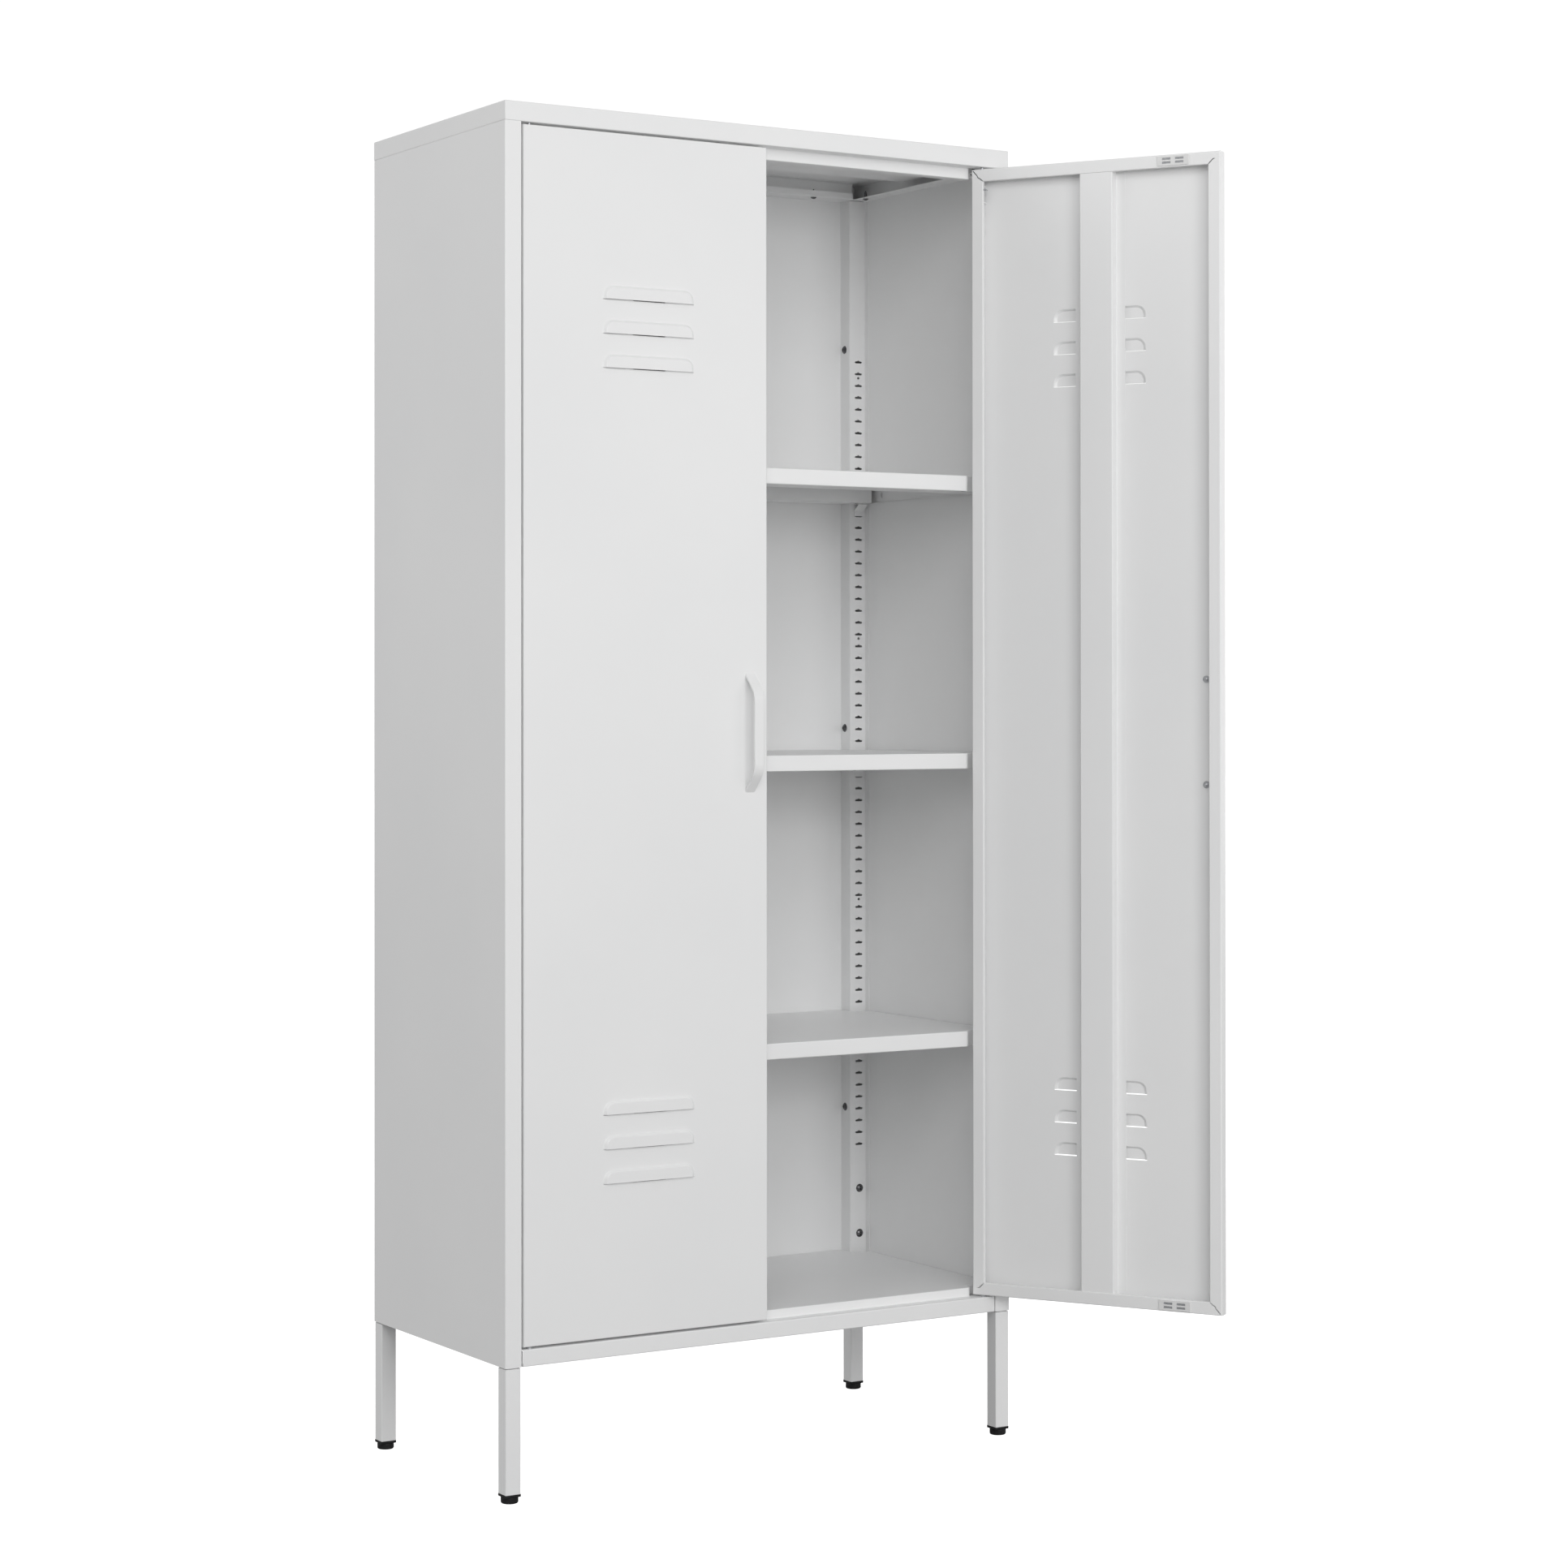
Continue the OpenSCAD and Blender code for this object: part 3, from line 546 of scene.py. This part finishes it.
def add_lips(shape, xs, zs, rear):
    """The four lips that turn in behind a door."""
    def corner(x_end, z_end, shift):
        mitre = OPEN_MITRE if x_end != z_end else WELDED_MITRE
        return [(xs[x_end] + INWARD[x_end] * (u - shift * parted), rear,
                 zs[z_end] + INWARD[z_end] * (v + shift * parted)) for u, v, parted in mitre]

    for x_end in (0, 1):
        low, high = corner(x_end, 0, MITRE_GAP), corner(x_end, 1, MITRE_GAP)
        bend = xs[x_end] + INWARD[x_end] * DOOR_R
        shape.face([(bend, rear, zs[0] + DOOR_R)] + low + high[::-1]
                   + [(bend, rear, zs[1] - DOOR_R)])
        add_return(shape, low[-1], high[-1], Vector((INWARD[x_end], 0, 0)))
    for z_end in (0, 1):
        left, right = corner(0, z_end, -MITRE_GAP), corner(1, z_end, -MITRE_GAP)
        bend = zs[z_end] + INWARD[z_end] * DOOR_R
        shape.face([(xs[0] + DOOR_R, rear, bend)] + left + right[::-1]
                   + [(xs[1] - DOOR_R, rear, bend)])
        add_return(shape, left[-1], right[-1], Vector((0, 0, INWARD[z_end])))


# ---------- Handles ----------

HANDLE_T = 3.0
HANDLE_BEND = 28.0
HANDLE_LEG = 27.0
HANDLE_FOOT = 7.0
HANDLE_FLARE = 0.45
HANDLE_EDGE_R = 1.2
HANDLE_STEPS = 10


def handle():
    """A flat bow with slanted legs that land flat on the door."""
    low, high = mm_box("left_handle")
    x, half_x = (low.x + high.x) / 2, (high.x - low.x) / 2
    middle, half_z = (low.z + high.z) / 2, (high.z - low.z) / 2
    reach = front_y - low.y
    slant = math.hypot(HANDLE_LEG, reach)

    def half_bow(start, leg_end, knee, crown, r):
        """From the end of a leg round its knee, with the leg flared out to start at its foot."""
        bend = fillet(leg_end, knee, crown, r, HANDLE_STEPS)
        return [start, Vector(leg_end).lerp(Vector(bend[0]), HANDLE_FLARE)] + bend

    outer_end = (0, half_z)
    inner_end = (0, half_z - HANDLE_T * slant / reach)
    outer_knee = (-reach, half_z - HANDLE_LEG)
    inner_knee = (-reach + HANDLE_T, half_z - HANDLE_LEG - HANDLE_T * (slant - HANDLE_LEG) / reach)
    outer = half_bow(outer_end, outer_end, outer_knee, (-reach, 0), HANDLE_BEND)
    inner = half_bow((0, half_z - HANDLE_FOOT), inner_end, inner_knee, (-reach + HANDLE_T, 0),
                     HANDLE_BEND - HANDLE_T)
    outer += [(y, -z) for y, z in reversed(outer)]
    inner += [(y, -z) for y, z in reversed(inner)]
    section = rounded_rect(0, HANDLE_T / 2, half_x, HANDLE_T / 2, HANDLE_EDGE_R)
    rows = []
    for out, back in zip(outer, inner):
        row = []
        for across, depth in section:
            y, z = Vector(out).lerp(Vector(back), depth / HANDLE_T)
            row.append((x + across, front_y + y, middle + z))
        rows.append(row)
    shape = Shape()
    shape.tube(rows)
    door_piece("bow_handle", shape, "handle", "powder_coat")


# ---------- Springs of the top pins ----------

SPRING_TURNS = 5
TURN_STEPS = 20
WIRE_R = 0.4
WIRE_STEPS = 8


def springs():
    """Coil spring under each top pin's hub, drawn at one length: it does not close up as the pin is
    drawn down.
    """
    low, high = mm_box("left_pin_spring")
    x, y = (low.x + high.x) / 2, (low.y + high.y) / 2
    r = (high.x - low.x) / 2 - WIRE_R
    rise = high.z - low.z - 2 * WIRE_R
    wire = circle((0, 0), WIRE_R, WIRE_STEPS)
    rows = []
    for i in range(SPRING_TURNS * TURN_STEPS + 1):
        turns = i / TURN_STEPS
        angle = 2 * math.pi * turns
        z = low.z + WIRE_R + rise * turns / SPRING_TURNS
        rows.append([(x + (r + across) * math.cos(angle), y + (r + across) * math.sin(angle), z + up)
                     for across, up in wire])
    shape = Shape()
    shape.tube(rows)
    pair = door_piece("pin_coil", shape, "pin_spring", "zinc_steel")
    for side, coil in zip(("left", "right"), pair):
        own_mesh(coil)


# ---------- Lid ----------

FOLD_R = 1.5
LID_FLANGE_SIDE = 22.0
LID_FLANGE_FRONT = 21.0
LID_FLANGE_REAR = 40.0
HEADER_GAP = 0.5
HEADER_DEPTH = 16.0
HEADER_R = 6.6


def fold(inset, z, way):
    """Insets and heights of a quarter bend at an outer edge: way -1 runs down from a top
    face at z, and way 1 runs in to a bottom face at z."""
    start, end = (90, 180) if way < 0 else (180, 270)
    return arc((inset + FOLD_R, z + way * FOLD_R), FOLD_R, start, end)


def lid():
    """The lid's top and rim, with a flange turned in under it."""
    shape = Shape()
    low, high = lid_low, lid_high
    outline = [(low.x, low.y), (high.x, low.y), (high.x, high.y), (low.x, high.y)]
    rows = [at_z(offset(outline, inset), z)
            for inset, z in fold(0, high.z, -1) + fold(0, carcass_top, 1)]
    left, right = low.x + LID_FLANGE_SIDE, high.x - LID_FLANGE_SIDE
    front, rear = low.y + LID_FLANGE_FRONT, high.y - LID_FLANGE_REAR
    flange = at_z([(left, front), (right, front), (right, rear), (left, rear)], carcass_top)
    shape.face(rows[0])
    shape.skin(rows + [flange], closed=True)
    new_piece("lid_sheet", shape, "carcass", "powder_coat", ["lid"], (0, 0, 1), SHEET)


def header():
    """Strip behind the tops of the doors, with its ends and its lower edge turned back."""
    shape = Shape()
    front, rear = stop_y + HEADER_GAP, stop_y + HEADER_DEPTH

    def path(inset, z):
        r = HEADER_R - inset
        x, y = corner_x - inset, front + inset
        right = arc((x - r, y + r), r, -90, 0) + [(x, rear)]
        return at_z([(-a, b) for a, b in reversed(right)] + right, z)

    rows = [path(0, carcass_top)] + [path(inset, z) for inset, z in fold(0, lid_low.z, 1)]
    shape.skin(rows)
    shape.face(rows[-1])
    new_piece("lid_header", shape, "carcass", "powder_coat", ["lid"], (0, -1, 0), SHEET)


# ---------- Floor and shelves ----------

NOTCH_GAP = 1.0
TRAY_R = 8.0
TRAY_R_STEPS = 6
TRAY_CURL = 3.0
SHELF_REAR_GAP = 1.2
BOX_DEPTH = 57.0
BOX_SIDE_GAP = 11.0
BOX_CORNER_GAP = 2.0
BOX_START = 2.9
CLIP_HOLE_Y = 121.0
CLIP_HOLE_Z = 11.0
CLIP_HOLE_R = 4.0
CLIP_HOLE_STEPS = 32
CLIP_HOLE_REACH = 3.0

front_notch = front_post_high.y + NOTCH_GAP
rear_notch = rear_post_low.y - NOTCH_GAP


def tray_outline(front, rear, side_x, rear_x):
    """Plan of a tray that is notched round the four posts, anticlockwise from its front."""
    r = TRAY_R
    return whole(arc((corner_x - r, front + r), r, -90, 0, TRAY_R_STEPS)
                 + [(corner_x, front_notch), (side_x, front_notch), (side_x, rear_notch),
                    (rear_x, rear_notch), (rear_x, rear)])


def tray(shape, outline, top, bottom, curl=0):
    """A flat top with a rim all round. The rim's lower edge turns in as far as curl."""
    profile = fold(0, top, -1) + (fold(0, bottom, 1) + [(curl, bottom)] if curl else [(0, bottom)])
    rows = [at_z(offset(outline, inset), z) for inset, z in profile]
    shape.face(rows[0])
    shape.skin(rows, closed=True)


def clip_holes(low, high):
    """Cutters for the holes in a shelf's side rims, where its clips hook in."""
    holes = Shape()
    for side in (-1, 1):
        for y in (-CLIP_HOLE_Y, CLIP_HOLE_Y):
            outline = circle((y, low.z + CLIP_HOLE_Z), CLIP_HOLE_R, CLIP_HOLE_STEPS)
            holes.tube([[(side * x, a, b) for a, b in outline]
                        for x in (high.x - CLIP_HOLE_REACH, high.x + CLIP_HOLE_REACH)])
    return holes


def box_folds(low, high, rear_x):
    """The sheet folded back under a shelf from its front and rear rims, and up to its top."""
    folds = Shape()
    wide = half_w - BOX_SIDE_GAP
    for edge, notch, way, narrow in ((low.y, front_notch, 1, corner_x - TRAY_R - BOX_CORNER_GAP),
                                     (high.y, rear_notch, -1, rear_x - BOX_CORNER_GAP)):
        inner = edge + way * BOX_DEPTH
        for start, end, reach in ((notch, inner, wide), (edge + way * BOX_START, notch, narrow)):
            front, rear = sorted((start, end))
            folds.block((-reach, front, low.z), (reach, rear, low.z + SHEET))
        folds.block((-wide, inner - SHEET / 2, low.z), (wide, inner + SHEET / 2, high.z - SHEET))
    return folds


def shelf(level):
    """A shelf is a tray with rims, and the box folds under its front and rear."""
    node = level + "_shelf"
    low, high = mm_box(node)
    rear_x = back_high.x - SHEET - SHELF_REAR_GAP
    shape = Shape()
    tray(shape, tray_outline(low.y, high.y, high.x, rear_x), high.z, low.z, TRAY_CURL)
    new_piece(node + "_tray", shape, "carcass", "powder_coat", [node], (0, 0, 1), SHEET,
              holes=clip_holes(low, high))
    new_piece(node + "_folds", box_folds(low, high, rear_x), "carcass", "powder_coat", [node])


RAIL_GAP = 2.2
RAIL_LAP = 2.0
RAIL_RETURN = 18.0
RAIL_END_GAP = 1.2
RAIL_END = 14.0


def bottom_tray():
    """The floor inside, with a rim that reaches down to the rail's ledge."""
    high = mm_box("bottom_panel")[1]
    shape = Shape()
    outline = tray_outline(stop_y, high.y, high.x, back_high.x - SHEET)
    tray(shape, outline, high.z, ledge_z - SHEET)
    new_piece("floor_tray", shape, "carcass", "powder_coat", ["bottom_panel"], (0, 0, 1), SHEET)


def bottom_rail():
    """The rail below the doors: a ledge, a front and a return, with a flange at each end."""
    rail = Shape()
    half = stile_x - RAIL_GAP
    top_edge, low_edge = (front_y, ledge_z), (front_y, rail_low)
    profile = ([(stop_y + RAIL_LAP, ledge_z)]
               + fillet((stop_y, ledge_z), top_edge, low_edge, FOLD_R)
               + fillet(top_edge, low_edge, (stop_y, rail_low), FOLD_R)
               + [(front_y + RAIL_RETURN, rail_low)])
    rail.skin([[(x, y, z) for x in (-half, half)] for y, z in profile])
    near, far = front_y + RAIL_END_GAP, front_y + RAIL_END
    under, over = rail_low + RAIL_END_GAP, ledge_z - RAIL_END_GAP
    for side in (-1, 1):
        rail.face([(side * half, y, z)
                   for y, z in [(near, under), (far, under), (far, over), (near, over)]])
    new_piece("floor_rail", rail, "carcass", "powder_coat", ["bottom_panel"], (0, -1, 0), SHEET)


# ---------- Legs and feet ----------

LEG_R = 1.4
LEG_WALL = 1.2
LEG_SWAGE = 3.0
SWAGE_DROP = 1.4

CAP_R = 1.9
CAP_LEAST_R = 0.4
CAP_EDGE = 0.5
CAP_SLOPE_H = 0.35
CAP_SLOPE_W = 0.2
CAP_JOINT = 0.02
CAP_PLUG = 2.2

FOOT_STEPS = 40
FOOT_GAP = 0.3
FOOT_EDGE_R = 2.2
FOOT_TOP_R = 1.0
STEM_R = 4.0
STEM_END = 0.8
THREAD_PITCH = 1.25
THREAD_DEPTH = 0.65


def leg(corner):
    """Square tube, swaged slimmer where it stands inside the side panel."""
    low, high = mm_box(corner + "_leg")
    x, y, half = (low.x + high.x) / 2, (low.y + high.y) / 2, (high.x - low.x) / 2

    def square(half_size, r=LEG_R):
        return rounded_rect(x, y, half_size, half_size, r)

    inner_r = LEG_R - LEG_WALL
    slim = half - LEG_SWAGE
    step = side_low.z - SWAGE_DROP
    rows = [(square(half), low.z), (square(half), step),
            (square(slim), step), (square(slim), high.z),
            (square(slim - LEG_WALL, inner_r), high.z),
            (square(slim - LEG_WALL, inner_r), step - LEG_WALL),
            (square(half - LEG_WALL, inner_r), step - LEG_WALL),
            (square(half - LEG_WALL, inner_r), low.z), (square(half), low.z)]
    shape = Shape()
    shape.skin([at_z(outline, z) for outline, z in rows], closed=True)
    new_piece(corner + "_leg_tube", shape, "carcass", "powder_coat", [corner + "_leg"])


def leg_cap(corner):
    """Plastic cap plugged into the end of a leg."""
    low, high = mm_box(corner + "_leg_cap")
    tube_end = mm_box(corner + "_leg")[0].z
    x, y, half = (low.x + high.x) / 2, (low.y + high.y) / 2, (high.x - low.x) / 2
    rim = tube_end - CAP_JOINT
    profile = [(CAP_EDGE, low.z), (0, low.z + CAP_EDGE), (0, tube_end - CAP_SLOPE_H),
               (CAP_SLOPE_W, rim), (CAP_PLUG, rim), (CAP_PLUG, high.z)]
    shape = Shape()
    shape.tube([at_z(rounded_rect(x, y, half - inset, half - inset, max(CAP_LEAST_R, CAP_R - inset)), z)
                for inset, z in profile])
    new_piece(corner + "_cap", shape, "carcass", "black_plastic", [corner + "_leg_cap"])


def foot(corner):
    """Round levelling foot on a threaded stem."""
    low, high = mm_box(corner + "_foot")
    centre = ((low.x + high.x) / 2, (low.y + high.y) / 2)
    r, pad = (high.x - low.x) / 2, mm_box(corner + "_leg_cap")[0].z - FOOT_GAP
    profile = (arc((r - FOOT_EDGE_R, FOOT_EDGE_R), FOOT_EDGE_R, -90, 0)
               + arc((r - FOOT_TOP_R, pad - FOOT_TOP_R), FOOT_TOP_R, 0, 90) + [(STEM_R, pad)])
    for i in range(int((high.z - pad) / THREAD_PITCH)):
        for reach, part in ((STEM_R, 0.35), (STEM_R - THREAD_DEPTH, 0.6), (STEM_R, 0.9)):
            profile.append((reach, pad + (i + part) * THREAD_PITCH))
    profile.append((STEM_R - STEM_END, high.z))
    shape = Shape()
    shape.tube([at_z(circle(centre, radius, FOOT_STEPS), z) for radius, z in profile])
    new_piece(corner + "_levelling_foot", shape, corner + "_foot", "black_plastic", [corner + "_foot"])


door_skin()
handle()
springs()
lid()
header()
bottom_tray()
bottom_rail()
for level in ("lower", "middle", "upper"):
    shelf(level)
for corner in ("front_left", "front_right", "rear_left", "rear_right"):
    leg(corner)
    leg_cap(corner)
    foot(corner)


# ---------- CAD nodes that stay, with their finishes ----------

FINISHES = {
    "powder_coat": [
        "lid_cross_stiffener", "lid_rear_stiffener", "left_side_panel", "right_side_panel",
        "left_front_post", "right_front_post", "left_rear_post", "right_rear_post", "back_panel",
        "lower_shelf_clips", "middle_shelf_clips", "upper_shelf_clips",
        "left_door_stiffener", "right_door_stiffener", "left_pin_bracket", "right_pin_bracket",
    ],
    "black_plastic": ["left_bottom_bush", "right_bottom_bush"],
    "black_screws": ["leg_screws", "back_panel_screws", "lid_screws"],
    "white_plastic": ["left_catch_housings", "right_catch_housings"],
    "zinc_steel": [
        "leg_nuts", "bottom_pivot_pins", "left_handle_screws", "right_handle_screws",
        "left_handle_washers", "right_handle_washers", "left_catch_poles", "right_catch_poles",
        "left_top_pin", "right_top_pin",
    ],
}


def keep_cad_nodes():
    """Gives each CAD node that stays in sight its material."""
    for finish, nodes in FINISHES.items():
        for name in nodes:
            node = frame["nodes"][name]
            node.data.materials.clear()
            node.data.materials.append(MATERIALS[finish])


keep_cad_nodes()


# ---------- Studio ----------

FLOOR_REACH = 30
FLOOR_GREY = 0.4
SHOWN_GREY = 0.9
SHOWN_ROUGHNESS = 0.9
SHOWN_GLOW = 0.8
SKY_STRENGTH = 0.42
BACKDROP_STRENGTH = 1.05


def by_camera_ray(tree, lighting, shown, output):
    """Joins two shaders: the camera sees one, and the other lights the scene."""
    path = tree.nodes.new("ShaderNodeLightPath")
    mix = tree.nodes.new("ShaderNodeMixShader")
    tree.links.new(path.outputs["Is Camera Ray"], mix.inputs["Fac"])
    tree.links.new(lighting.outputs[0], mix.inputs[1])
    tree.links.new(shown.outputs[0], mix.inputs[2])
    tree.links.new(mix.outputs[0], tree.nodes[output].inputs["Surface"])


def make_floor():
    """A wide, plain, pale floor. It looks white, and sends back less light than it shows."""
    size = FLOOR_REACH
    mesh = bpy.data.meshes.new("floor")
    mesh.from_pydata([(-size, -size, 0), (size, -size, 0), (size, size, 0), (-size, size, 0)],
                     [], [(0, 1, 2, 3)])
    floor = bpy.data.objects.new("floor", mesh)
    bpy.context.scene.collection.objects.link(floor)
    material = bpy.data.materials.new("floor")
    material.use_nodes = True
    tree = material.node_tree
    shown = tree.nodes["Principled BSDF"]
    shown.inputs["Base Color"].default_value = (SHOWN_GREY, SHOWN_GREY, SHOWN_GREY, 1)
    shown.inputs["Roughness"].default_value = SHOWN_ROUGHNESS
    shown.inputs["Emission Color"].default_value = (1, 1, 1, 1)
    shown.inputs["Emission Strength"].default_value = SHOWN_GLOW
    lighting = tree.nodes.new("ShaderNodeBsdfDiffuse")
    lighting.inputs["Color"].default_value = (FLOOR_GREY, FLOOR_GREY, FLOOR_GREY, 1)
    by_camera_ray(tree, lighting, shown, "Material Output")
    mesh.materials.append(material)


def make_world():
    """Soft light from all round. The backdrop that the camera sees is plain white."""
    world = bpy.data.worlds.new("studio")
    bpy.context.scene.world = world
    world.use_nodes = True
    tree = world.node_tree
    sky = tree.nodes["Background"]
    sky.inputs["Color"].default_value = (1, 1, 1, 1)
    sky.inputs["Strength"].default_value = SKY_STRENGTH
    backdrop = tree.nodes.new("ShaderNodeBackground")
    backdrop.inputs["Color"].default_value = (1, 1, 1, 1)
    backdrop.inputs["Strength"].default_value = BACKDROP_STRENGTH
    by_camera_ray(tree, sky, backdrop, "World Output")


def area_light(name, place, aim, size, power):
    """A square softbox at place that looks at aim."""
    data = bpy.data.lights.new(name, "AREA")
    data.shape = "SQUARE"
    data.size = size
    data.energy = power
    light = bpy.data.objects.new(name, data)
    light.location = place
    light.rotation_mode = "QUATERNION"
    light.rotation_quaternion = (Vector(aim) - Vector(place)).to_track_quat("-Z", "Y")
    bpy.context.scene.collection.objects.link(light)


make_floor()
make_world()
area_light("key", (-2.2, -4.3, 3.0), (0, 0, 1.2), 3.0, 70)
area_light("front", (0.0, -5.5, 1.6), (0, 0, 1.3), 1.6, 58)
area_light("right", (2.2, -3.6, 1.8), (0, 0, 1.2), 1.6, 11)
area_light("left", (-5.0, 2.0, 3.4), (0, 0, 1.2), 3.0, 77)
area_light("rim", (5.0, -0.7, 1.6), (0.4, -0.4, 1.0), 2.5, 38)
bpy.context.scene.view_settings.view_transform = "Standard"
# light reaches the back of a white cabinet by many bounces
bpy.context.scene.cycles.diffuse_bounces = 8
